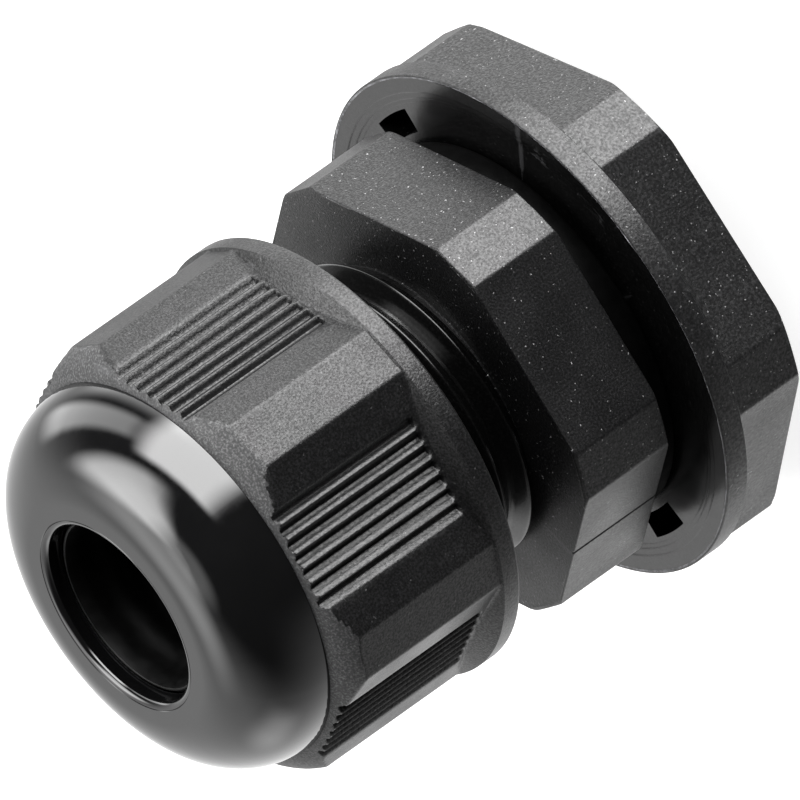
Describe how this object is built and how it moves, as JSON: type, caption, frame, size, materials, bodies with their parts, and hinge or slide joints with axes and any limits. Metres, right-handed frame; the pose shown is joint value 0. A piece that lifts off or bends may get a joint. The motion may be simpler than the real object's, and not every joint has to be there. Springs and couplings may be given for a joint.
{
  "type": "cable gland",
  "caption": "Plastic cable gland: a threaded hexagonal body with a dome nut, claw and rubber seal that grip the cable, and a gasket and locknut for the panel.",
  "frame": {"origin": "on the cable axis, at the free end of the entry thread", "axes": "+Z along the cable, from the free end of the entry thread to the dome; +Y and -Y square to two flats of the body's hexagon"},
  "size_m": [0.0244, 0.0244, 0.0301],
  "materials": {
    "nylon_body": "black nylon with a fine moulded texture",
    "nylon_dome_nut": "black nylon, fine texture on the hexagon and polished on the dome",
    "nylon_claw": "black nylon, satin",
    "rubber_seal": "black soft rubber, satin",
    "rubber_gasket": "black sheet rubber, smooth",
    "nylon_locknut": "black nylon with a fine moulded texture, smooth on its face"
  },
  "bodies": {
    "body": {"body": "nylon_body"},
    "claw_and_seal": {"clamping_claw": "nylon_claw", "sealing_insert": "rubber_seal"},
    "dome_nut": {"dome_nut": "nylon_dome_nut"},
    "gasket": {"gasket": "rubber_gasket"},
    "locknut": {"locknut": "nylon_locknut"}
  },
  "joints": [
    {"name": "claw_travel", "type": "slide", "parent": "body", "child": "claw_and_seal", "axis": [0, 0, 1], "range_m": [-0.00283, 0.00565]},
    {"name": "dome_nut_turn", "type": "hinge", "parent": "claw_and_seal", "child": "dome_nut", "pos_m": [0, 0, 0.0235], "axis": [0, 0, 1], "range_deg": [-720, 1440]},
    {"name": "gasket_travel", "type": "slide", "parent": "body", "child": "gasket", "axis": [0, 0, 1], "range_m": [-0.00706, 0]},
    {"name": "locknut_turn", "type": "hinge", "parent": "gasket", "child": "locknut", "pos_m": [0, 0, 0.00425], "axis": [0, 0, 1], "range_deg": [-1800, 0]}
  ],
  "couplings": [
    {"joint": "claw_travel", "follows": "dome_nut_turn", "m_per_rad": 0.00022441},
    {"joint": "gasket_travel", "follows": "locknut_turn", "m_per_rad": 0.00022441}
  ]
}
